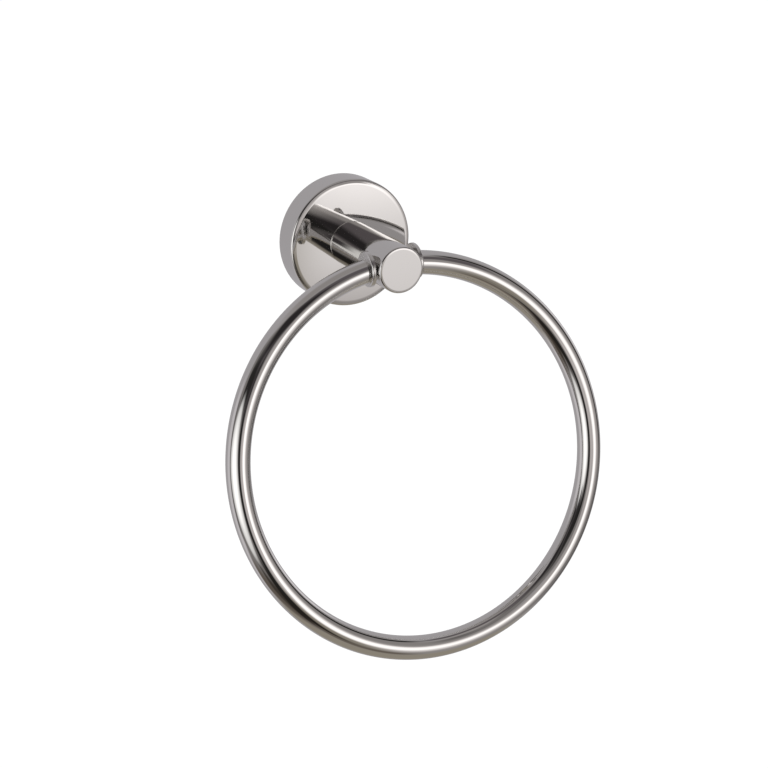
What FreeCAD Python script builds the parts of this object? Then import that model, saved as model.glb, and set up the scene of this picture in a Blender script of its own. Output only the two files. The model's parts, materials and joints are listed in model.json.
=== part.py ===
"""Towel ring with a round wall flange, a turned post and a swinging round ring.

Frame: the origin is the centre of the flange on the wall face (y = 0), the front
looks along -Y, +Z is up and the ring hangs down. All sizes are millimetres.
"""
import FreeCAD
import Part
import math
import os

Vector = FreeCAD.Vector

# Wall flange: a shallow cup, open to the wall
FLANGE_DIAMETER = 52.0
FLANGE_DEPTH = 12.4
FLANGE_RIM_WALL = 2.2
FLANGE_FACE_WALL = 1.8
FLANGE_EDGE_ROUND = 1.0

# Post: a solid turned bar that stands on the flange's face
POST_DIAMETER = 18.2
POST_REACH = 58.0              # wall to the post's front face
POST_EDGE_ROUND = 1.0
POST_FOOT_BEVEL = 0.4
PIVOT_SETBACK = 9.1            # the post's front face to the axis that the ring swings on

# Ring: a solid round bar with a turned-down pin at each end
RING_DIAMETER = 149.8          # of the bar's centre line
BAR_DIAMETER = 9.4
RING_LEAN = 14.5               # degrees that the ring stands out from the wall at rest
PIN_DIAMETER = 5.0
PIN_DEPTH = 5.0                # how far a pin enters the post, from its side
PIN_CHAMFER = 0.5

# Collars between the post and the ends of the bar
COLLAR_DIAMETER = 14.0
COLLAR_THICKNESS = 1.6
COLLAR_ROUND = 0.7

# Bushes in the post's cross bore
BUSH_WALL = 0.9
BUSH_LENGTH = 4.2

# Bracket: a dish that is screwed to the wall inside the flange
BRACKET_BASE = 2.5
BRACKET_RIM_WALL = 3.4
BRACKET_HEIGHT = 8.0
BRACKET_EDGE_CHAMFER = 0.5
SCREW_SPACING = 26.0
SLOT_WIDTH = 4.6
SLOT_LENGTH = 9.0
GROOVE_DEPTH = 1.6
GROOVE_FROM_WALL = 4.6

# Fixings
POST_SCREW_DIAMETER = 6.0
POST_SCREW_GRIP = 12.0         # thread length inside the post
POST_SCREW_HEAD_DIAMETER = 10.0
POST_SCREW_HEAD_HEIGHT = 4.0
POST_SCREW_KEY = 5.0           # across the flats of its hexagon socket
POST_SCREW_KEY_DEPTH = 2.6
WASHER_DIAMETER = 12.5
WASHER_THICKNESS = 1.2
GRUB_DIAMETER = 4.0
GRUB_KEY = 2.0
GRUB_KEY_DEPTH = 1.6
GRUB_SINK = 0.5                # how far the grub screw stands below the rim's surface

# Clearances
RUNNING_CLEARANCE = 0.05       # radial, between a pin and what it turns in
SLIP_CLEARANCE = 0.3           # radial, between the bracket and the flange
HOLE_CLEARANCE = 0.2           # radial, round the post screw's shank
FACE_CLEARANCE = 0.2           # between a collar and the post's side
DRILL_POINT = 1.0              # extra depth of a blind hole past what it holds

# Sizes that follow
flange_radius = FLANGE_DIAMETER / 2
flange_bore_radius = flange_radius - FLANGE_RIM_WALL
flange_floor = FLANGE_DEPTH - FLANGE_FACE_WALL
post_radius = POST_DIAMETER / 2
pivot_reach = POST_REACH - PIVOT_SETBACK
ring_radius = RING_DIAMETER / 2
bar_radius = BAR_DIAMETER / 2
pin_radius = PIN_DIAMETER / 2
bush_bore_radius = pin_radius + RUNNING_CLEARANCE
bush_radius = bush_bore_radius + BUSH_WALL
bush_mouth = math.sqrt(post_radius**2 - bush_radius**2)
collar_inner = post_radius + FACE_CLEARANCE
collar_outer = collar_inner + COLLAR_THICKNESS
pin_tip = post_radius - PIN_DEPTH
bracket_radius = flange_bore_radius - SLIP_CLEARANCE
bracket_pocket_radius = bracket_radius - BRACKET_RIM_WALL
grub_radius = GRUB_DIAMETER / 2
post_screw_radius = POST_SCREW_DIAMETER / 2

ORIGIN = Vector(0, 0, 0)
OUTWARD = Vector(0, -1, 0)     # from the wall towards the room
ACROSS = Vector(1, 0, 0)
UP = Vector(0, 0, 1)
PIVOT = Vector(0, -pivot_reach, 0)


def out_from_wall(distance):
    """Return the point on the post's axis at a distance from the wall."""
    return Vector(0, -distance, 0)


def rod(radius, start, length):
    """Return a cylinder on the post's axis that starts at a distance from the wall."""
    return Part.makeCylinder(radius, length, out_from_wall(start), OUTWARD)


def turned(profile, base, axis):
    """Return the solid that a closed profile of points sweeps about an axis."""
    wire = Part.makePolygon(profile + profile[:1])
    return Part.Face(wire).revolve(base, axis, 360)


def circles_at(shape, axis, place, radius):
    """Return the circular edges about an axis that lie at a place along it."""
    found = []
    for edge in shape.Edges:
        curve = edge.Curve
        if not isinstance(curve, Part.Circle):
            continue
        along = curve.Center.dot(axis)
        if abs(along - place) < 1e-4 and abs(curve.Radius - radius) < 1e-4:
            found.append(edge)
    return found


def hexagon(across_flats, start, depth, centre, direction):
    """Return a hexagonal prism along a direction, for the socket of a screw."""
    side = direction.cross(ACROSS).normalize()
    corner_radius = across_flats / math.sqrt(3)
    corners = []
    for step in range(6):
        angle = math.radians(60 * step)
        spoke = ACROSS * (corner_radius * math.cos(angle)) + side * (corner_radius * math.sin(angle))
        corners.append(centre + direction * start + spoke)
    face = Part.Face(Part.makePolygon(corners + corners[:1]))
    return face.extrude(direction * depth)


def make_flange_cover():
    """Return the polished cup, with the post's hole and the grub screw's hole."""
    cover = rod(flange_radius, 0, FLANGE_DEPTH)
    rim = circles_at(cover, OUTWARD, FLANGE_DEPTH, flange_radius)
    cover = cover.makeFillet(FLANGE_EDGE_ROUND, rim)
    cover = cover.cut(rod(flange_bore_radius, 0, flange_floor))
    cover = cover.cut(rod(post_screw_radius + HOLE_CLEARANCE, 0, FLANGE_DEPTH))
    grub_hole = Part.makeCylinder(grub_radius, flange_radius, out_from_wall(GROOVE_FROM_WALL), -UP)
    return cover.cut(grub_hole)


def make_post():
    """Return the turned post, with its cross bore and its screw's blind hole."""
    post = rod(post_radius, FLANGE_DEPTH, POST_REACH - FLANGE_DEPTH)
    front = circles_at(post, OUTWARD, POST_REACH, post_radius)
    post = post.makeFillet(POST_EDGE_ROUND, front)
    foot = circles_at(post, OUTWARD, FLANGE_DEPTH, post_radius)
    post = post.makeChamfer(POST_FOOT_BEVEL, foot)
    cross_bore = Part.makeCylinder(bush_radius, POST_DIAMETER, PIVOT - ACROSS * post_radius, ACROSS)
    screw_hole = rod(post_screw_radius, FLANGE_DEPTH, POST_SCREW_GRIP + DRILL_POINT)
    return post.cut(cross_bore).cut(screw_hole)


def make_post_washer():
    """Return the washer under the head of the post's screw."""
    start = flange_floor - WASHER_THICKNESS
    washer = rod(WASHER_DIAMETER / 2, start, WASHER_THICKNESS)
    return washer.cut(rod(post_screw_radius + HOLE_CLEARANCE, start, WASHER_THICKNESS))


def make_post_screw():
    """Return the socket-head screw that draws the post against the flange."""
    seat = flange_floor - WASHER_THICKNESS
    head_start = seat - POST_SCREW_HEAD_HEIGHT
    head = rod(POST_SCREW_HEAD_DIAMETER / 2, head_start, POST_SCREW_HEAD_HEIGHT)
    shank = rod(post_screw_radius, seat, FLANGE_DEPTH + POST_SCREW_GRIP - seat)
    socket = hexagon(POST_SCREW_KEY, head_start, POST_SCREW_KEY_DEPTH, ORIGIN, OUTWARD)
    return head.fuse(shank).removeSplitter().cut(socket)


def make_wall_bracket():
    """Return the dish that is screwed to the wall, with slots and a groove."""
    outer = bracket_radius
    inner = bracket_pocket_radius
    chamfer = BRACKET_EDGE_CHAMFER
    groove_bottom = outer - GROOVE_DEPTH
    profile = [
        Vector(0, 0, 0),
        Vector(outer, 0, 0),
        Vector(outer, -(GROOVE_FROM_WALL - GROOVE_DEPTH), 0),
        Vector(groove_bottom, -GROOVE_FROM_WALL, 0),
        Vector(outer, -(GROOVE_FROM_WALL + GROOVE_DEPTH), 0),
        Vector(outer, -(BRACKET_HEIGHT - chamfer), 0),
        Vector(outer - chamfer, -BRACKET_HEIGHT, 0),
        Vector(inner, -BRACKET_HEIGHT, 0),
        Vector(inner, -BRACKET_BASE, 0),
        Vector(0, -BRACKET_BASE, 0),
    ]
    bracket = turned(profile, ORIGIN, OUTWARD)
    for side in (-1, 1):
        bracket = bracket.cut(make_slot(side * SCREW_SPACING / 2))
    return bracket


def make_slot(centre):
    """Return the tool for one screw slot, centred at a distance across the bracket."""
    radius = SLOT_WIDTH / 2
    half_run = (SLOT_LENGTH - SLOT_WIDTH) / 2
    slot = Part.makeBox(2 * half_run, BRACKET_BASE, SLOT_WIDTH,
                        Vector(centre - half_run, -BRACKET_BASE, -radius))
    for end in (-half_run, half_run):
        round_end = Part.makeCylinder(radius, BRACKET_BASE, Vector(centre + end, 0, 0), OUTWARD)
        slot = slot.fuse(round_end)
    return slot.removeSplitter()


def make_grub_screw():
    """Return the pointed grub screw that locks the flange on the bracket's groove."""
    outer_end = flange_radius - GRUB_SINK
    tip = bracket_radius - GROOVE_DEPTH + RUNNING_CLEARANCE
    shoulder = tip + grub_radius
    profile = [
        Vector(0, 0, -tip),
        Vector(grub_radius, 0, -shoulder),
        Vector(grub_radius, 0, -outer_end),
        Vector(0, 0, -outer_end),
    ]
    screw = turned(profile, ORIGIN, UP)
    socket = hexagon(GRUB_KEY, outer_end - GRUB_KEY_DEPTH, GRUB_KEY_DEPTH, ORIGIN, -UP)
    screw = screw.cut(socket)
    screw.translate(out_from_wall(GROOVE_FROM_WALL))
    return screw


def make_collar(side):
    """Return the turned collar on one side of the post (-1 left, 1 right)."""
    radius = COLLAR_DIAMETER / 2
    collar = Part.makeCylinder(radius, COLLAR_THICKNESS, Vector(collar_inner, 0, 0), ACROSS)
    rim = circles_at(collar, ACROSS, collar_outer, radius)
    collar = collar.makeFillet(COLLAR_ROUND, rim)
    bore = Part.makeCylinder(bush_bore_radius, COLLAR_THICKNESS, Vector(collar_inner, 0, 0), ACROSS)
    return mirrored_to(side, collar.cut(bore))


def make_bush(side):
    """Return the bush in one end of the post's cross bore."""
    start = bush_mouth - BUSH_LENGTH
    bush = Part.makeCylinder(bush_radius, BUSH_LENGTH, Vector(start, 0, 0), ACROSS)
    bore = Part.makeCylinder(bush_bore_radius, BUSH_LENGTH, Vector(start, 0, 0), ACROSS)
    return mirrored_to(side, bush.cut(bore))


def mirrored_to(side, shape):
    """Return a piece built on the right, put on its side of the pivot."""
    if side < 0:
        shape = shape.mirror(ORIGIN, ACROSS)
    shape.translate(PIVOT)
    return shape


def make_ring():
    """Return the bar bent round to the collars, with a pin at each end, as it stands at rest."""
    centre = PIVOT - UP * ring_radius
    ring = Part.makeTorus(ring_radius, bar_radius, centre, OUTWARD)
    gap = Part.makeBox(2 * collar_outer, 2 * BAR_DIAMETER, 2 * BAR_DIAMETER,
                       PIVOT - Vector(collar_outer, BAR_DIAMETER, BAR_DIAMETER))
    ring = ring.cut(gap)
    for side in (-1, 1):
        ring = ring.fuse(make_pin(side))
    ring.rotate(PIVOT, ACROSS, -RING_LEAN)
    return ring


def make_pin(side):
    """Return one pin, from inside the bar's end to its tip in the bush."""
    root = collar_outer + pin_radius
    pin = Part.makeCylinder(pin_radius, root - pin_tip, Vector(pin_tip, 0, 0), ACROSS)
    tip = circles_at(pin, ACROSS, pin_tip, pin_radius)
    return mirrored_to(side, pin.makeChamfer(PIN_CHAMFER, tip))


NODES = {
    "wall_bracket": make_wall_bracket,
    "flange_cover": make_flange_cover,
    "grub_screw": make_grub_screw,
    "post": make_post,
    "post_washer": make_post_washer,
    "post_screw": make_post_screw,
    "ring": make_ring,
    "left_collar": lambda: make_collar(-1),
    "right_collar": lambda: make_collar(1),
    "left_bush": lambda: make_bush(-1),
    "right_bush": lambda: make_bush(1),
}

os.makedirs("parts", exist_ok=True)
for node, build in NODES.items():
    solid = build()
    solid.exportStep(f"parts/{node}.step")
    print(f"{node}: valid {solid.isValid()}, solids {len(solid.Solids)}, {solid.Volume:.1f} mm3")
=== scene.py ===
"""Dressed scene of a mirror-polished towel ring on its round wall flange."""
import json
import logging
import math
from dataclasses import dataclass, field
from enum import Enum

import bpy
from mathutils import Matrix, Vector

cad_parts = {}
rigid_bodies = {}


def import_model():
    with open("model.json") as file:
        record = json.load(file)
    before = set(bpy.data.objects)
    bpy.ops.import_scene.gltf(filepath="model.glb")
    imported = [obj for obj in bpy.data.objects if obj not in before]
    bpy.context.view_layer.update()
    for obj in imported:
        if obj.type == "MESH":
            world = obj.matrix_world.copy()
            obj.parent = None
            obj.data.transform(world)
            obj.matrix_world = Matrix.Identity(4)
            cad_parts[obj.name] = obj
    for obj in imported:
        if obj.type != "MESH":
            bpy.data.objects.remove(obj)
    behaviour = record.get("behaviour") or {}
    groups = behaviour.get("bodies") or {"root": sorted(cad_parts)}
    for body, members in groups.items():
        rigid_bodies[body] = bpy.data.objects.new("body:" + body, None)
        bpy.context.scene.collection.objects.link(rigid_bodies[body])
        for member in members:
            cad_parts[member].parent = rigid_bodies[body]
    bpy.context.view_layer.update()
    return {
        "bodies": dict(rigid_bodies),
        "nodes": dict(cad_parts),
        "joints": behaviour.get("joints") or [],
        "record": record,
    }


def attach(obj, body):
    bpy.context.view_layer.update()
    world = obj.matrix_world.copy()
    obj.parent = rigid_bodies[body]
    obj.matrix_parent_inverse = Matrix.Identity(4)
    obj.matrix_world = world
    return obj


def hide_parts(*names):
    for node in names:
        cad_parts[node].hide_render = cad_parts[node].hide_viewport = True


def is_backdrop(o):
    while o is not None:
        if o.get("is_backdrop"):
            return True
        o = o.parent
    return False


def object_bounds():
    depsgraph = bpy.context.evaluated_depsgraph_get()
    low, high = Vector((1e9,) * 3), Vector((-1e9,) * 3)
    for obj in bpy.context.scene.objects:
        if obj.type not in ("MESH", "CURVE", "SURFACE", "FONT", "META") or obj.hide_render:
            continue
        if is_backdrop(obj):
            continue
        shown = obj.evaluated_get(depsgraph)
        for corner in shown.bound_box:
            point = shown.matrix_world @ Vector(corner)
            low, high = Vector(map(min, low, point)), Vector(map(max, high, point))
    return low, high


LOG = logging.getLogger("towel_ring")
MM = 0.001

OUTWARD = Vector((0.0, -1.0, 0.0))
ACROSS = Vector((1.0, 0.0, 0.0))
DOWN = Vector((0.0, 0.0, -1.0))
PIVOT_REACH = 48.9 * MM
Point = tuple[float, float]
Colour = tuple[float, float, float]


class Slot(Enum):
    """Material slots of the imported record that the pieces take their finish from."""

    POLISHED = "polished"
    BRACKET = "bracket"
    FIXINGS = "fixings"
    BUSH = "bush"


# Finishes

GRAIN_OCTAVES = 3.0
WAVE_OCTAVES = 1.0
NOISE_SPAN = (0.3, 0.7)
CHROME_COLOUR = (0.78, 0.77, 0.75)


@dataclass(frozen=True)
class NodeTools:
    """Short ways to add and join nodes in one material's or world's tree."""

    tree: bpy.types.NodeTree

    def add(self, kind: str, **values: object) -> bpy.types.Node:
        """Add a node and set its properties.

        Args:
            kind: The node's type name.
            values: Properties of the node by name.

        Returns:
            The new node.
        """
        node = self.tree.nodes.new(kind)
        for name, value in values.items():
            setattr(node, name, value)
        return node

    def link(self, output: bpy.types.NodeSocket, target: bpy.types.NodeSocket) -> None:
        """Join an output to an input."""
        self.tree.links.new(output, target)

    def math(self, operation: str, *terms: object) -> bpy.types.NodeSocket:
        """Add a maths node.

        Args:
            operation: The operation's name.
            terms: Sockets or plain numbers, in order.

        Returns:
            The node's result.
        """
        node = self.add("ShaderNodeMath", operation=operation)
        for index, term in enumerate(terms):
            if isinstance(term, bpy.types.NodeSocket):
                self.link(term, node.inputs[index])
            else:
                node.inputs[index].default_value = term
        return node.outputs[0]

    def smooth_range(self, value: bpy.types.NodeSocket, start: float, end: float,
                     low: float, high: float) -> bpy.types.NodeSocket:
        """Map a value smoothly from one range to another.

        Args:
            value: The value to map.
            start: The input that gives low.
            end: The input that gives high.
            low: The first result.
            high: The last result.

        Returns:
            The mapped value.
        """
        node = self.add("ShaderNodeMapRange", interpolation_type="SMOOTHSTEP")
        self.link(value, node.inputs["Value"])
        node.inputs["From Min"].default_value = start
        node.inputs["From Max"].default_value = end
        node.inputs["To Min"].default_value = low
        node.inputs["To Max"].default_value = high
        return node.outputs["Result"]

    def noise(self, coordinates: bpy.types.NodeSocket, scale: float,
              detail: float) -> bpy.types.NodeSocket:
        """Add a noise texture.

        Args:
            coordinates: The vector that it reads.
            scale: Its scale, for each metre.
            detail: Its number of octaves.

        Returns:
            The noise value from 0 to 1.
        """
        node = self.add("ShaderNodeTexNoise")
        self.link(coordinates, node.inputs["Vector"])
        node.inputs["Scale"].default_value = scale
        node.inputs["Detail"].default_value = detail
        return node.outputs[0]


@dataclass(frozen=True)
class Finish:
    """A surface finish with fine grain in its gloss and relief.

    Attributes:
        name: The material's name.
        colour: Base colour.
        metallic: 1 for bare or plated metal.
        gloss: Lowest and highest roughness.
        grain: Scale of the fine grain, for each metre.
        relief: Height of the grain in metres.
        wave: Scale of the slow waves in the surface, for each metre.
        wave_relief: Height of the waves in metres.
    """

    name: str
    colour: Colour
    metallic: float
    gloss: Point
    grain: float
    relief: float
    wave: float
    wave_relief: float

    def make(self) -> bpy.types.Material:
        """Build the material.

        Returns:
            The material.
        """
        material = bpy.data.materials.new(self.name)
        material.use_nodes = True
        tools = NodeTools(material.node_tree)
        shader = material.node_tree.nodes["Principled BSDF"]
        shader.inputs["Base Color"].default_value = (*self.colour, 1.0)
        shader.inputs["Metallic"].default_value = self.metallic
        coordinates = tools.add("ShaderNodeTexCoord").outputs["Object"]
        grain = tools.noise(coordinates, self.grain, GRAIN_OCTAVES)
        tools.link(tools.smooth_range(grain, *NOISE_SPAN, *self.gloss), shader.inputs["Roughness"])
        waves = tools.noise(coordinates, self.wave, WAVE_OCTAVES)
        slow = self.add_bump(tools, waves, self.wave_relief, None)
        fine = self.add_bump(tools, grain, self.relief, slow)
        tools.link(fine, shader.inputs["Normal"])
        return material

    @staticmethod
    def add_bump(tools: NodeTools, height: bpy.types.NodeSocket, depth: float,
                 under: bpy.types.NodeSocket | None) -> bpy.types.NodeSocket:
        """Add one bump over another.

        Args:
            tools: The tree's tools.
            height: The height from 0 to 1.
            depth: The height in metres.
            under: The normal that it adds to, or None.

        Returns:
            The bumped normal.
        """
        bump = tools.add("ShaderNodeBump")
        bump.inputs["Distance"].default_value = depth
        tools.link(height, bump.inputs["Height"])
        if under is not None:
            tools.link(under, bump.inputs["Normal"])
        return bump.outputs["Normal"]


MIRROR_CHROME = Finish(
    "mirror_chrome", colour=CHROME_COLOUR, metallic=1.0, gloss=(0.02, 0.05),
    grain=2500.0, relief=2e-7, wave=45.0, wave_relief=4e-6)
SATIN_CHROME = Finish(
    "satin_chrome", colour=CHROME_COLOUR, metallic=1.0, gloss=(0.2, 0.28),
    grain=2500.0, relief=4e-7, wave=45.0, wave_relief=4e-6)
ZINC_PLATE = Finish(
    "zinc_plate", colour=(0.55, 0.55, 0.56), metallic=1.0, gloss=(0.32, 0.48),
    grain=900.0, relief=6e-6, wave=60.0, wave_relief=2e-5)
PLAIN_STEEL = Finish(
    "plain_steel", colour=(0.62, 0.62, 0.62), metallic=1.0, gloss=(0.22, 0.36),
    grain=1800.0, relief=3e-6, wave=90.0, wave_relief=1e-5)
NATURAL_NYLON = Finish(
    "natural_nylon", colour=(0.85, 0.85, 0.82), metallic=0.0, gloss=(0.42, 0.55),
    grain=1500.0, relief=4e-6, wave=80.0, wave_relief=1e-5)


# Meshes

SHARP_ANGLE = math.radians(30.0)
AXIS_RADIUS = 1e-9
DRILL_SEGMENTS = 64
FORM_TOLERANCE = 0.02 * MM
SQUARE_TO_AXIS = 0.01
ALONG_AXIS = 0.9999


def make_object(name: str, points: list[Vector],
                faces: list[tuple[int, ...]]) -> bpy.types.Object:
    """Make a smooth mesh object whose edges past the sharp angle stay sharp.

    Args:
        name: The object's name.
        points: Its vertices in metres.
        faces: Its faces as vertex numbers.

    Returns:
        The new object.
    """
    mesh = bpy.data.meshes.new(name)
    mesh.from_pydata([tuple(point) for point in points], [], faces)
    mesh.update()
    mesh.shade_smooth()
    mesh.set_sharp_from_angle(angle=SHARP_ANGLE)
    piece = bpy.data.objects.new(name, mesh)
    bpy.context.scene.collection.objects.link(piece)
    return piece


@dataclass(frozen=True)
class Roll:
    """A rounding of a turned piece, as an arc of its profile.

    Attributes:
        along: Place of the arc's centre along the axis.
        out: Distance of the arc's centre from the axis.
        radius: The arc's radius.
        start: Its first angle from the axis, in degrees.
        end: Its last angle from the axis, in degrees.
        steps: Its number of stretches.
    """

    along: float
    out: float
    radius: float
    start: float = 90.0
    end: float = 0.0
    steps: int = 10

    def points(self) -> list[Point]:
        """Return the arc's points.

        Returns:
            The points as (along, radius) pairs, from start to end.
        """
        points = []
        for step in range(self.steps + 1):
            angle = math.radians(self.start + (self.end - self.start) * step / self.steps)
            points.append((self.along + self.radius * math.cos(angle),
                           self.out + self.radius * math.sin(angle)))
        return points


@dataclass(frozen=True)
class PolishedFace:
    """A face that polishing left slightly crowned, with a soft shoulder and a rounded edge.

    Attributes:
        side_radius: The radius of the piece's round side.
        top: Place of the crown's top along the axis.
        edge: The radius of the rounded edge.
        shoulder: The radius of the soft shoulder.
        shoulder_start: Where the shoulder starts, measured from the axis.
        crown: The radius of the crown.
        inner: Where the face ends towards the axis.
        steps: Number of stretches of the shoulder and of the crown.
    """

    side_radius: float
    top: float
    edge: float
    shoulder: float
    shoulder_start: float
    crown: float
    inner: float = 0.0
    steps: int = 12

    def rolls(self) -> list[Roll]:
        """Return the arcs from the round side to the middle, each tangent to the next.

        Returns:
            The rounded edge, the shoulder and the crown.
        """
        slope = math.asin(self.shoulder_start / self.crown)
        centre = self.top - self.crown
        along = centre + (self.crown - self.shoulder) * math.cos(slope)
        out = (self.crown - self.shoulder) * math.sin(slope)
        span = self.shoulder - self.edge
        edge_out = self.side_radius - self.edge
        tip = math.asin((edge_out - out) / span)
        edge_end, shoulder_end = math.degrees(tip), math.degrees(slope)
        crown_end = math.degrees(math.asin(self.inner / self.crown))
        return [
            Roll(along + span * math.cos(tip), edge_out, self.edge, end=edge_end),
            Roll(along, out, self.shoulder, edge_end, shoulder_end, self.steps),
            Roll(centre, 0.0, self.crown, shoulder_end, crown_end, self.steps),
        ]


@dataclass(frozen=True)
class Turning:
    """A shape turned about an axis from a profile of (along, radius) points.

    Attributes:
        base: The point on the axis from which along is measured.
        axis: The axis direction.
        side: A direction square to the axis.
        segments: Number of stretches round the axis.
    """

    base: Vector
    axis: Vector
    side: Vector
    segments: int = 160

    def build(self, name: str, profile: list[Point], closed: bool) -> bpy.types.Object:
        """Turn a profile into an object.

        Args:
            name: The object's name.
            profile: The points, with the outside on the left of their direction.
            closed: True joins the last point to the first, for a bored piece.

        Returns:
            The new object.
        """
        points: list[Vector] = []
        loops: list[list[int]] = []
        other = self.axis.cross(self.side)
        for along, radius in profile:
            if radius < AXIS_RADIUS:
                points.append(self.base + self.axis * along)
                loops.append([len(points) - 1] * self.segments)
                continue
            first = len(points)
            for step in range(self.segments):
                angle = 2 * math.pi * step / self.segments
                spoke = self.side * (radius * math.cos(angle)) + other * (radius * math.sin(angle))
                points.append(self.base + self.axis * along + spoke)
            loops.append(list(range(first, first + self.segments)))
        faces: list[tuple[int, ...]] = []
        pairs = list(zip(loops[:-1], loops[1:]))
        if closed:
            pairs.append((loops[-1], loops[0]))
        for low, high in pairs:
            for step in range(self.segments):
                after = (step + 1) % self.segments
                corners = (low[step], low[after], high[after], high[step])
                faces.append(tuple(dict.fromkeys(corners)))
        return make_object(name, points, faces)

    def true_normals(self, piece: bpy.types.Object, radius: float, rolls: list[Roll]) -> None:
        """Give the round side, the roundings and the flat ends the normals of the exact form.

        Args:
            piece: The piece that was turned about this axis.
            radius: The radius of its round side.
            rolls: Its roundings.
        """
        mesh = piece.data
        mesh.shade_smooth()
        mesh.set_sharp_from_angle(angle=SHARP_ANGLE)
        normals = [Vector(corner.vector) for corner in mesh.corner_normals]
        for polygon in mesh.polygons:
            exact = self.exact_directions(mesh, polygon, radius, rolls)
            for index, direction in zip(polygon.loop_indices, exact):
                normals[index] = direction.normalized()
        mesh.normals_split_custom_set([tuple(normal) for normal in normals])

    def exact_directions(self, mesh: bpy.types.Mesh, polygon: bpy.types.MeshPolygon,
                         radius: float, rolls: list[Roll]) -> list[Vector]:
        """Return the directions square to the exact form at a face's corners.

        Args:
            mesh: The piece's mesh.
            polygon: The face.
            radius: The radius of the piece's round side.
            rolls: The piece's roundings.

        Returns:
            A direction for each corner, or none where the face lies in no known form.
        """
        places, spokes = [], []
        for index in polygon.loop_indices:
            offset = mesh.vertices[mesh.loops[index].vertex_index].co - self.base
            along = offset.dot(self.axis)
            places.append(along)
            spokes.append(offset - self.axis * along)
        facing = abs(polygon.normal.dot(self.axis))
        on_side = all(abs(spoke.length - radius) < FORM_TOLERANCE for spoke in spokes)
        if on_side and facing < SQUARE_TO_AXIS:
            return spokes
        for roll in rolls:
            lifts = [self.axis * (place - roll.along) + spoke - spoke.normalized() * roll.out
                     for place, spoke in zip(places, spokes)]
            if all(abs(lift.length - roll.radius) < FORM_TOLERANCE for lift in lifts):
                return lifts
        return [polygon.normal] * len(spokes) if facing > ALONG_AXIS else []


def cut_hole(piece: bpy.types.Object, start: Vector, axis: Vector, length: float,
             radius: float) -> None:
    """Cut a round hole into a piece.

    Args:
        piece: The piece.
        start: A point on the hole's axis.
        axis: The hole's direction.
        length: The hole's length.
        radius: The hole's radius.
    """
    side = axis.orthogonal().normalized()
    drill = Turning(start, axis, side, DRILL_SEGMENTS)
    profile = [(0.0, 0.0), (0.0, radius), (length, radius), (length, 0.0)]
    tool = drill.build(piece.name + "_drill", profile, False)
    cut = piece.modifiers.new("hole", "BOOLEAN")
    cut.operation = "DIFFERENCE"
    cut.solver = "EXACT"
    cut.object = tool
    bpy.context.view_layer.update()
    view = piece.evaluated_get(bpy.context.evaluated_depsgraph_get())
    mesh = bpy.data.meshes.new_from_object(view)
    piece.modifiers.clear()
    piece.data = mesh
    bpy.data.objects.remove(tool)


def finish_piece(piece: bpy.types.Object, material: bpy.types.Material, body: str,
                 node: str) -> None:
    """Dress a piece, put it on its body and hide the plain node that it stands for.

    Args:
        piece: The piece.
        material: Its material.
        body: The body that it rides on.
        node: The node that it replaces.
    """
    piece.data.materials.clear()
    piece.data.materials.append(material)
    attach(piece, body)
    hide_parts(node)
    LOG.info("%s rides on %s and stands for %s", piece.name, body, node)


# Sub-assemblies


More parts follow.
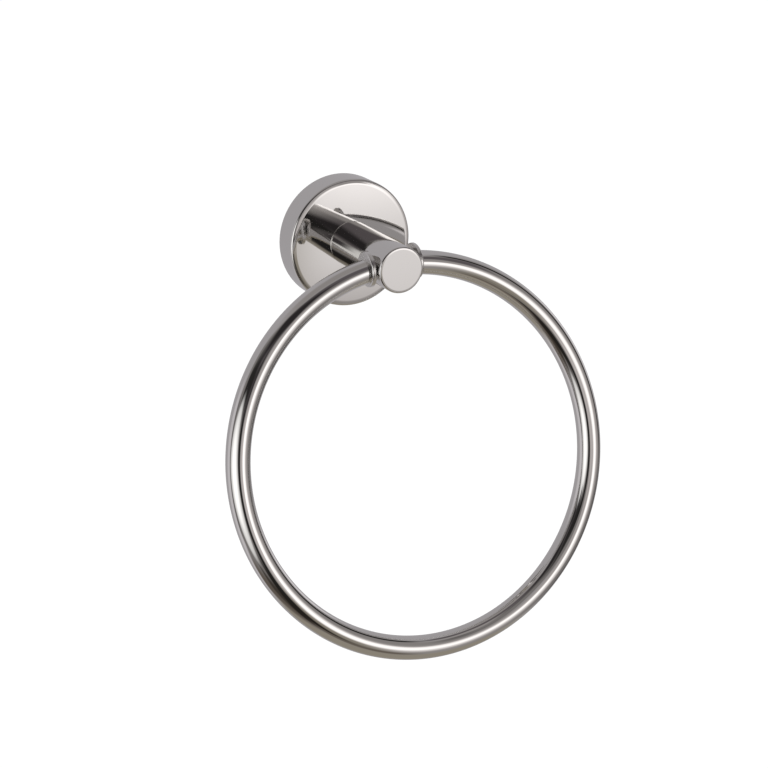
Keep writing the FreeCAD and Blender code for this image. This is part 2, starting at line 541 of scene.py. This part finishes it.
@dataclass
class Holder:
    """The flange cover and the post, which stay fixed to the wall."""

    body: str = "holder"
    flange_radius: float = 26.0 * MM
    flange_depth: float = 12.4 * MM
    rim_wall: float = 2.2 * MM
    face_wall: float = 1.8 * MM
    flange_crown_top: float = 12.7 * MM
    flange_crown: float = 620.0 * MM
    flange_shoulder: float = 6.0 * MM
    flange_shoulder_start: float = 23.7 * MM
    flange_edge: float = 1.0 * MM
    screw_hole_radius: float = 3.2 * MM
    grub_hole_radius: float = 2.0 * MM
    grub_from_wall: float = 4.6 * MM
    post_radius: float = 9.1 * MM
    post_reach: float = 58.0 * MM
    post_crown: float = 2000.0 * MM
    post_shoulder: float = 3.0 * MM
    post_shoulder_start: float = 7.9 * MM
    post_edge: float = 0.7 * MM
    foot_from_wall: float = 12.62 * MM
    foot_round: float = 0.5 * MM
    foot_steps: int = 5
    thread_radius: float = 3.0 * MM
    thread_depth: float = 13.0 * MM
    cross_bore_radius: float = 3.45 * MM

    def build(self, chrome: bpy.types.Material) -> None:
        """Build the flange cover and the post and dress them in chrome."""
        finish_piece(self.flange_cover(), chrome, self.body, "flange_cover")
        finish_piece(self.post(), chrome, self.body, "post")

    def flange_cover(self) -> bpy.types.Object:
        """Build the cup with its slightly crowned face.

        Returns:
            The flange cover.
        """
        inside = self.flange_radius - self.rim_wall
        floor = self.flange_depth - self.face_wall
        rolls = PolishedFace(
            self.flange_radius, self.flange_crown_top, self.flange_edge, self.flange_shoulder,
            self.flange_shoulder_start, self.flange_crown, self.screw_hole_radius).rolls()
        profile = [(0.0, inside), (0.0, self.flange_radius)]
        for roll in rolls:
            profile += roll.points()
        profile += [(floor, self.screw_hole_radius), (floor, inside)]
        form = Turning(Vector(), OUTWARD, ACROSS)
        piece = form.build("flange_cover_polished", profile, True)
        start = OUTWARD * self.grub_from_wall
        cut_hole(piece, start, DOWN, 2 * self.flange_radius, self.grub_hole_radius)
        form.true_normals(piece, self.flange_radius, rolls)
        return piece

    def post(self) -> bpy.types.Object:
        """Build the turned post with its slightly crowned front and rounded foot.

        Returns:
            The post.
        """
        length = self.post_reach - self.foot_from_wall
        foot = Roll(self.foot_round, self.post_radius - self.foot_round, self.foot_round,
                    start=180.0, end=90.0, steps=self.foot_steps)
        face = PolishedFace(self.post_radius, length, self.post_edge, self.post_shoulder,
                            self.post_shoulder_start, self.post_crown)
        rolls = [foot, *face.rolls()]
        profile = [(self.thread_depth, 0.0), (self.thread_depth, self.thread_radius),
                   (0.0, self.thread_radius)]
        for roll in rolls:
            profile += roll.points()
        form = Turning(OUTWARD * self.foot_from_wall, OUTWARD, ACROSS)
        piece = form.build("post_polished", profile, False)
        start = OUTWARD * PIVOT_REACH - ACROSS * (2 * self.post_radius)
        cut_hole(piece, start, ACROSS, 4 * self.post_radius, self.cross_bore_radius)
        form.true_normals(piece, self.post_radius, rolls)
        return piece


@dataclass
class HangingRing:
    """The bar bent to a ring, with its pins and the two collars."""

    body: str = "hanging_ring"
    pivot: Vector = field(default_factory=lambda: OUTWARD * PIVOT_REACH)
    ring_radius: float = 74.9 * MM
    bar_radius: float = 4.7 * MM
    lean: float = 14.5
    collar_inner: float = 9.3 * MM
    collar_thickness: float = 1.6 * MM
    collar_radius: float = 7.0 * MM
    collar_round: float = 0.7 * MM
    collar_segments: int = 96
    bore_radius: float = 2.55 * MM
    pin_radius: float = 2.5 * MM
    pin_tip: float = 4.1 * MM
    pin_chamfer: float = 0.5 * MM
    along_steps: int = 600
    round_steps: int = 96

    @property
    def bar_end(self) -> float:
        """Return how far the ends of the bar stand from the post's axis."""
        return self.collar_inner + self.collar_thickness

    @property
    def tilt(self) -> Matrix:
        """Return the turn about the pivot by which the ring leans outwards."""
        return Matrix.Rotation(math.radians(-self.lean), 3, "X")

    def build(self, chrome: bpy.types.Material, satin: bpy.types.Material) -> None:
        """Build and dress the pieces that swing.

        Args:
            chrome: The ring's material.
            satin: The collars' material.
        """
        finish_piece(self.ring(), chrome, self.body, "ring")
        for side, name in ((-1.0, "left_collar"), (1.0, "right_collar")):
            finish_piece(self.collar(side, name), satin, self.body, name)

    def collar(self, side: float, name: str) -> bpy.types.Object:
        """Build one turned collar.

        Args:
            side: -1 on the left of the post, 1 on its right.
            name: The node that it stands for.

        Returns:
            The collar.
        """
        thick = self.collar_thickness
        edge = Roll(thick - self.collar_round, self.collar_radius - self.collar_round,
                    self.collar_round)
        profile = [(0.0, self.bore_radius), (0.0, self.collar_radius), *edge.points(),
                   (thick, self.bore_radius)]
        axis = ACROSS * side
        base = self.pivot + axis * self.collar_inner
        form = Turning(base, axis, OUTWARD, self.collar_segments)
        piece = form.build(name + "_polished", profile, True)
        form.true_normals(piece, self.collar_radius, [edge])
        return piece

    def ring(self) -> bpy.types.Object:
        """Build the bent bar, whose ends stand flat against the collars.

        Returns:
            The ring as it hangs at rest.
        """
        tilt = self.tilt
        points: list[Vector] = []
        for along in range(self.along_steps + 1):
            for around in range(self.round_steps):
                turn = 2 * math.pi * around / self.round_steps
                reach = self.ring_radius + self.bar_radius * math.cos(turn)
                first = math.asin(self.bar_end / reach)
                angle = first + (2 * math.pi - 2 * first) * along / self.along_steps
                across = reach * math.sin(angle)
                down = self.ring_radius - reach * math.cos(angle)
                outward = self.bar_radius * math.sin(turn)
                points.append(self.pivot + tilt @ Vector((across, -outward, -down)))
        faces = self.bar_faces()
        last = self.along_steps * self.round_steps
        faces += self.add_pin(points, 1.0, range(self.round_steps))
        faces += self.add_pin(points, -1.0, range(last, last + self.round_steps))
        return make_object("ring_polished", points, faces)

    def bar_faces(self) -> list[tuple[int, ...]]:
        """Return the faces of the bar's round side.

        Returns:
            The faces as vertex numbers, from the bar's first end to its last.
        """
        count = self.round_steps
        faces = []
        for along in range(self.along_steps):
            low = along * count
            for around in range(count):
                after = (around + 1) % count
                faces.append((low + around, low + count + around, low + count + after, low + after))
        return faces

    def add_pin(self, points: list[Vector], side: float, section: range) -> list[tuple[int, ...]]:
        """Add the pin that stands out of one end of the bar.

        Args:
            points: The vertices, to which the pin's are added.
            side: -1 on the left of the post, 1 on its right.
            section: The vertices of the bar's end.

        Returns:
            The faces of the bar's end and the pin.
        """
        shoulder = self.pin_tip + self.pin_chamfer
        tip_radius = self.pin_radius - self.pin_chamfer
        stations = [(self.bar_end, self.pin_radius), (shoulder, self.pin_radius),
                    (self.pin_tip, tip_radius)]
        count = self.round_steps
        tilt = self.tilt
        loops = [list(section)]
        for distance, radius in stations:
            first = len(points)
            for around in range(count):
                turn = 2 * math.pi * around / count
                spoke = Vector((0.0, -radius * math.sin(turn), radius * math.cos(turn)))
                points.append(self.pivot + ACROSS * (side * distance) + tilt @ spoke)
            loops.append(list(range(first, first + count)))
        faces = []
        for low, high in zip(loops[:-1], loops[1:]):
            for around in range(count):
                after = (around + 1) % count
                corners = (low[around], low[after], high[after], high[around])
                faces.append(corners if side > 0 else corners[::-1])
        cap = tuple(loops[-1])
        faces.append(cap if side > 0 else cap[::-1])
        return faces


@dataclass(frozen=True)
class HiddenPieces:
    """The bracket, screws, washer and bushes, which keep the shape of their solids.

    Attributes:
        nodes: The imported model's nodes by name.
    """

    nodes: dict[str, bpy.types.Object]

    def dress(self) -> None:
        """Give every hidden piece the finish of its slot."""
        self.dress_slot(Slot.BRACKET, ZINC_PLATE, "wall_bracket")
        self.dress_slot(Slot.FIXINGS, PLAIN_STEEL, "grub_screw", "post_washer", "post_screw")
        self.dress_slot(Slot.BUSH, NATURAL_NYLON, "left_bush", "right_bush")

    def dress_slot(self, slot: Slot, finish: Finish, *names: str) -> None:
        """Give the pieces of one slot their finish.

        Args:
            slot: The slot.
            finish: The finish.
            names: The pieces' nodes.
        """
        material = finish.make()
        for name in names:
            materials = self.nodes[name].data.materials
            materials.clear()
            materials.append(material)
            LOG.info("%s in slot %s is dressed in %s", name, slot.value, finish.name)


# Studio

WHITE_LIGHT = (1.0, 1.0, 1.0, 1.0)
SCREEN_GAMMA = 2.2
LEAST_AHEAD = 0.001


class Outline(Enum):
    """Outline of a studio card."""

    BOX = "box"
    OVAL = "oval"


@dataclass(frozen=True)
class Card:
    """A soft-edged light or dark card of the studio, as the polished metal shows it.

    Attributes:
        azimuth: Degrees from straight in front, towards +X.
        elevation: Degrees above the horizon.
        half_width: Half its width in degrees.
        half_height: Half its height in degrees.
        soft: Half the width of its blurred edge in degrees.
        level: How bright the metal shows it, from 0 to 1 or past 1.
        tint: Its colour.
        turn: Degrees that its right end is turned down.
        outline: Its outline.
    """

    azimuth: float
    elevation: float
    half_width: float
    half_height: float
    soft: float
    level: float
    tint: Colour = (1.0, 1.0, 1.0)
    turn: float = 0.0
    outline: Outline = Outline.BOX


# Tints of the studio's surfaces
MAUVE = (1.04, 1.0, 1.04)
GREY = (1.07, 1.0, 0.99)
SAND = (1.11, 1.0, 0.84)
BROWN = (1.2, 1.0, 0.84)
WHITE = (1.01, 1.0, 1.0)
CREAM = (1.04, 1.0, 1.0)
PLUM = (1.13, 1.0, 1.07)

ROOM_CARDS = (
    Card(0.0, 90.0, 24.0, 24.0, 12.0, 0.50, GREY),
    Card(0.0, -80.0, 40.0, 34.0, 10.0, 0.50, SAND),
    Card(-112.0, -12.0, 16.0, 40.0, 9.0, 0.70, MAUVE),
    Card(-48.0, 8.0, 48.0, 58.0, 5.0, 0.43, GREY),
    Card(-93.0, 2.0, 5.0, 28.0, 3.0, 0.36, GREY),
    Card(56.0, 5.0, 44.0, 50.0, 10.0, 0.48, GREY),
    Card(86.0, -30.0, 30.0, 15.0, 9.0, 0.42, GREY),
    Card(95.0, -33.0, 9.0, 13.0, 5.0, 0.30, GREY),
    Card(112.0, 2.0, 9.0, 12.0, 6.0, 0.78, MAUVE),
    Card(84.0, 18.0, 7.0, 34.0, 4.5, 0.09, GREY, turn=-8.0),
    Card(3.0, -32.0, 12.0, 18.0, 9.0, 0.42, SAND),
    Card(32.0, -3.0, 34.0, 27.0, 10.0, 0.61, GREY, outline=Outline.OVAL),
    Card(29.5, -1.0, 18.5, 18.5, 5.0, 0.80, CREAM),
    Card(28.0, 2.5, 14.0, 11.0, 7.0, 1.02, CREAM, outline=Outline.OVAL),
    Card(11.0, 15.0, 10.0, 9.0, 5.0, 0.58, GREY),
    Card(5.0, -15.0, 11.0, 9.0, 5.0, 0.48, SAND, outline=Outline.OVAL),
)
SCREEN_CARDS = (
    Card(-20.0, 52.0, 40.0, 15.0, 6.0, 0.29, GREY),
    Card(12.0, 44.0, 14.0, 12.0, 6.0, 0.42, GREY),
    Card(-46.0, 38.0, 26.0, 11.0, 5.0, 0.16, GREY),
    Card(-62.0, -43.0, 30.0, 10.0, 6.0, 0.32, BROWN, turn=-6.0),
    Card(-38.0, -34.0, 20.0, 8.0, 5.0, 0.22, BROWN),
    Card(-22.0, -28.0, 14.0, 14.0, 5.0, 0.14, BROWN),
    Card(-6.0, -44.0, 14.0, 6.0, 4.0, 0.34, BROWN),
    Card(2.0, 3.0, 10.0, 12.0, 4.0, 0.66, GREY, outline=Outline.OVAL),
    Card(-19.0, 4.0, 8.0, 28.0, 3.0, 0.14, GREY),
    Card(-60.0, 5.0, 28.5, 28.0, 4.0, 0.80, WHITE, outline=Outline.OVAL),
    Card(-60.0, 6.0, 17.0, 18.0, 8.0, 1.02, WHITE, outline=Outline.OVAL),
)
FLAG_CARDS = (
    Card(8.0, 66.0, 40.0, 11.0, 5.0, 0.31, PLUM),
    Card(-38.0, 57.0, 18.0, 10.0, 5.0, 0.16, PLUM),
    Card(35.0, 44.0, 9.0, 9.0, 4.0, 0.52, GREY),
    Card(-41.0, 31.0, 6.0, 7.0, 3.0, 0.22, PLUM),
)


@dataclass(frozen=True)
class CardDome:
    """A sphere of cards that is seen only in glossy reflections.

    Attributes:
        name: The object's name.
        centre: Its centre.
        radius: Its radius.
        cards: Its cards, each laid over those before it.
        backdrop: The level between the cards, or None for clear.
        metal: How much light the metal returns.
        rows: Number of rows of the sphere's faces.
        columns: Number of faces in a row.
    """

    name: str
    centre: Vector
    radius: float
    cards: tuple[Card, ...]
    backdrop: float | None
    metal: float = 0.77
    rows: int = 48
    columns: int = 96

    def build(self) -> None:
        """Add the dome to the scene."""
        mesh = bpy.data.meshes.new(self.name)
        mesh.from_pydata(*self.sphere())
        mesh.materials.append(self.material())
        dome = bpy.data.objects.new(self.name, mesh)
        bpy.context.scene.collection.objects.link(dome)
        dome.location = self.centre
        dome.visible_camera = False
        dome.visible_diffuse = False
        dome.visible_transmission = False
        dome.visible_shadow = False
        dome.visible_volume_scatter = False
        dome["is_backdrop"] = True

    def sphere(self) -> tuple[list[tuple], list, list[tuple[int, ...]]]:
        """Return the dome's sphere.

        Returns:
            Its vertices, no loose edges, and its faces.
        """
        rows, columns = self.rows, self.columns
        points = [(0.0, 0.0, -self.radius)]
        for row in range(1, rows):
            height = math.radians(-90.0 + 180.0 * row / rows)
            for column in range(columns):
                angle = 2 * math.pi * column / columns
                spread = self.radius * math.cos(height)
                points.append((spread * math.cos(angle), spread * math.sin(angle),
                               self.radius * math.sin(height)))
        points.append((0.0, 0.0, self.radius))
        faces = []
        for column in range(columns):
            after = (column + 1) % columns
            faces.append((0, 1 + column, 1 + after))
            for row in range(rows - 2):
                low = 1 + row * columns
                high = low + columns
                faces.append((low + column, high + column, high + after, low + after))
            top = 1 + (rows - 2) * columns
            faces.append((top + column, len(points) - 1, top + after))
        return points, [], faces

    def glow(self, tools: NodeTools, level: float, tint: Colour) -> bpy.types.NodeSocket:
        """Add the light of one card.

        Args:
            tools: The tree's tools.
            level: How bright the metal shows it.
            tint: Its colour.

        Returns:
            The light.
        """
        emission = tools.add("ShaderNodeEmission")
        emission.inputs["Color"].default_value = (*tint, 1.0)
        emission.inputs["Strength"].default_value = level ** SCREEN_GAMMA / self.metal
        return emission.outputs[0]

    def material(self) -> bpy.types.Material:
        """Build the dome's light from its cards.

        Returns:
            The material.
        """
        material = bpy.data.materials.new(self.name)
        material.use_nodes = True
        tree = material.node_tree
        tree.nodes.clear()
        tools = NodeTools(tree)
        coordinates = tools.add("ShaderNodeTexCoord").outputs["Object"]
        direction = tools.add("ShaderNodeVectorMath", operation="NORMALIZE")
        tools.link(coordinates, direction.inputs[0])
        if self.backdrop is None:
            light = tools.add("ShaderNodeBsdfTransparent").outputs[0]
        else:
            light = self.glow(tools, self.backdrop, MAUVE)
        for card in self.cards:
            mix = tools.add("ShaderNodeMixShader")
            tools.link(self.cover(tools, direction.outputs[0], card), mix.inputs[0])
            tools.link(light, mix.inputs[1])
            tools.link(self.glow(tools, card.level, card.tint), mix.inputs[2])
            light = mix.outputs[0]
        output = tools.add("ShaderNodeOutputMaterial")
        tools.link(light, output.inputs["Surface"])
        return material

    @staticmethod
    def cover(tools: NodeTools, direction: bpy.types.NodeSocket,
              card: Card) -> bpy.types.NodeSocket:
        """Return how much of a card a direction sees.

        Args:
            tools: The tree's tools.
            direction: The direction from the dome's centre.
            card: The card.

        Returns:
            1 inside the card, 0 outside it.
        """
        frame = (Matrix.Rotation(math.radians(card.azimuth), 3, "Z")
                 @ Matrix.Rotation(math.radians(-card.elevation), 3, "X")
                 @ Matrix.Rotation(math.radians(card.turn), 3, "Y"))
        parts = []
        for axis in frame.col:
            dot = tools.add("ShaderNodeVectorMath", operation="DOT_PRODUCT")
            tools.link(direction, dot.inputs[0])
            dot.inputs[1].default_value = tuple(axis)
            parts.append(dot.outputs["Value"])
        aside, behind, upward = parts
        ahead = tools.math("MAXIMUM", tools.math("MULTIPLY", behind, -1.0), LEAST_AHEAD)
        across = tools.math("ABSOLUTE", tools.math("ARCTAN2", aside, ahead))
        above = tools.math("ABSOLUTE", tools.math("ARCTAN2", upward, ahead))
        halves = (math.radians(card.half_width), math.radians(card.half_height))
        soft = math.radians(card.soft)
        if card.outline is Outline.OVAL:
            squares = [tools.math("POWER", tools.math("DIVIDE", slope, half), 2.0)
                       for slope, half in zip((across, above), halves)]
            spread = tools.math("SQRT", tools.math("ADD", *squares))
            blur = soft / min(halves)
            return tools.smooth_range(spread, 1.0 - blur, 1.0 + blur, 1.0, 0.0)
        edges = [tools.smooth_range(slope, max(half - soft, 0.0), half + soft, 1.0, 0.0)
                 for slope, half in zip((across, above), halves)]
        return tools.math("MULTIPLY", *edges)


@dataclass
class Studio:
    """White backdrop, floor, soft light and the surroundings that the metal shows."""

    centre: Vector = field(default_factory=lambda: Vector((0.0, -0.065, -0.07)))
    room_radius: float = 3.0
    room_level: float = 0.585
    screen_radius: float = 0.48
    flag_radius: float = 0.17
    ambient: float = 0.75
    floor_drop: float = 0.3
    floor_size: float = 12.0
    floor_grey: float = 0.3
    floor_glow: float = 0.8
    lamp_size: float = 1.2
    lamp_power: float = 6.0
    lamp_place: tuple[float, float, float] = (-0.7, -1.0, 1.1)

    def build(self) -> None:
        """Build the whole studio."""
        self.set_world()
        self.add_floor()
        CardDome("room_cards", self.centre, self.room_radius, ROOM_CARDS, self.room_level).build()
        CardDome("screen_cards", self.centre, self.screen_radius, SCREEN_CARDS, None).build()
        CardDome("flag_cards", self.centre, self.flag_radius, FLAG_CARDS, None).build()
        self.add_soft_light()

    def set_world(self) -> None:
        """Make the world white to the camera and plain light to everything else."""
        world = bpy.data.worlds.new("studio_world")
        world.use_nodes = True
        bpy.context.scene.world = world
        tools = NodeTools(world.node_tree)
        background = world.node_tree.nodes["Background"]
        background.inputs["Color"].default_value = WHITE_LIGHT
        camera_ray = tools.add("ShaderNodeLightPath").outputs["Is Camera Ray"]
        strength = tools.math("MULTIPLY_ADD", camera_ray, 1.0 - self.ambient, self.ambient)
        tools.link(strength, background.inputs["Strength"])

    def add_floor(self) -> None:
        """Add the plain pale floor, which keeps the object's faint shadow."""
        half = self.floor_size / 2
        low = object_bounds()[0][2] - self.floor_drop
        corners = [Vector((x * half, y * half, low))
                   for x, y in ((-1, -1), (1, -1), (1, 1), (-1, 1))]
        floor = make_object("floor", corners, [(0, 1, 2, 3)])
        material = bpy.data.materials.new("pale_floor")
        material.use_nodes = True
        tools = NodeTools(material.node_tree)
        shader = material.node_tree.nodes["Principled BSDF"]
        shader.inputs["Base Color"].default_value = (*(self.floor_grey,) * 3, 1.0)
        shader.inputs["Roughness"].default_value = 1.0
        shader.inputs["Specular IOR Level"].default_value = 0.0
        shader.inputs["Emission Color"].default_value = WHITE_LIGHT
        camera_ray = tools.add("ShaderNodeLightPath").outputs["Is Camera Ray"]
        glow = tools.math("MULTIPLY", camera_ray, self.floor_glow)
        tools.link(glow, shader.inputs["Emission Strength"])
        floor.data.materials.append(material)
        floor.visible_glossy = False
        floor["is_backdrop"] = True

    def add_soft_light(self) -> None:
        """Add the large soft lamp over the front, which the metal doesn't mirror."""
        lamp = bpy.data.lights.new("soft_lamp", "AREA")
        lamp.shape = "DISK"
        lamp.size = self.lamp_size
        lamp.energy = self.lamp_power
        light = bpy.data.objects.new("soft_lamp", lamp)
        bpy.context.scene.collection.objects.link(light)
        light.location = self.lamp_place
        aim = self.centre - light.location
        light.rotation_euler = aim.to_track_quat("-Z", "Y").to_euler()
        light.visible_glossy = False


@dataclass(frozen=True)
class PhotoCamera:
    """The camera at the photograph's viewing angle.

    Attributes:
        azimuth: Degrees from straight in front, towards +X.
        elevation: Degrees above the horizon.
        roll: Degrees that the picture is turned.
        distance: From the aim to the camera, in metres.
        aim: The point that the camera is levelled at.
        shift: How far the aim stands right of and above the middle of the picture, in metres.
        focal_pixels: Focal length in pixels of the picture.
        picture_pixels: Width of the picture in pixels.
        sensor: Width of the sensor in millimetres.
        near: Where the view starts, in metres.
    """

    azimuth: float = -24.5
    elevation: float = 20.16
    roll: float = -2.96
    distance: float = 0.728
    aim: Vector = field(default_factory=lambda: Vector((0.0, -0.0364, -0.0624)))
    shift: Point = (0.35 * MM, -9.20 * MM)
    focal_pixels: float = 1817.28
    picture_pixels: int = 768
    sensor: float = 36.0
    near: float = 0.01

    def build(self) -> None:
        """Add the camera and make it the scene's."""
        turn, rise = math.radians(self.azimuth), math.radians(self.elevation)
        back = Vector((math.sin(turn) * math.cos(rise), -math.cos(turn) * math.cos(rise),
                       math.sin(rise)))
        right = Vector((math.cos(turn), math.sin(turn), 0.0))
        up = back.cross(right)
        spin = math.radians(self.roll)
        rolled_right = right * math.cos(spin) + up * math.sin(spin)
        rolled_up = up * math.cos(spin) - right * math.sin(spin)
        shift_right, shift_up = self.shift
        place = (self.aim - rolled_right * shift_right - rolled_up * shift_up
                 + back * self.distance)
        data = bpy.data.cameras.new("photo_camera")
        data.lens = self.focal_pixels / self.picture_pixels * self.sensor
        data.sensor_width = self.sensor
        data.clip_start = self.near
        camera = bpy.data.objects.new("photo_camera", data)
        bpy.context.scene.collection.objects.link(camera)
        axes = Matrix((rolled_right, rolled_up, back)).transposed()
        camera.matrix_world = Matrix.Translation(place) @ axes.to_4x4()
        bpy.context.scene.camera = camera


def main() -> None:
    """Load the frame, dress every piece and set up the studio."""
    logging.basicConfig(level=logging.INFO, format="%(message)s")
    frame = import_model()
    bpy.context.scene.view_settings.view_transform = "Standard"
    chrome = MIRROR_CHROME.make()
    Holder().build(chrome)
    HangingRing().build(chrome, SATIN_CHROME.make())
    HiddenPieces(frame["nodes"]).dress()
    Studio().build()
    PhotoCamera().build()


if __name__ == "__main__":
    main()
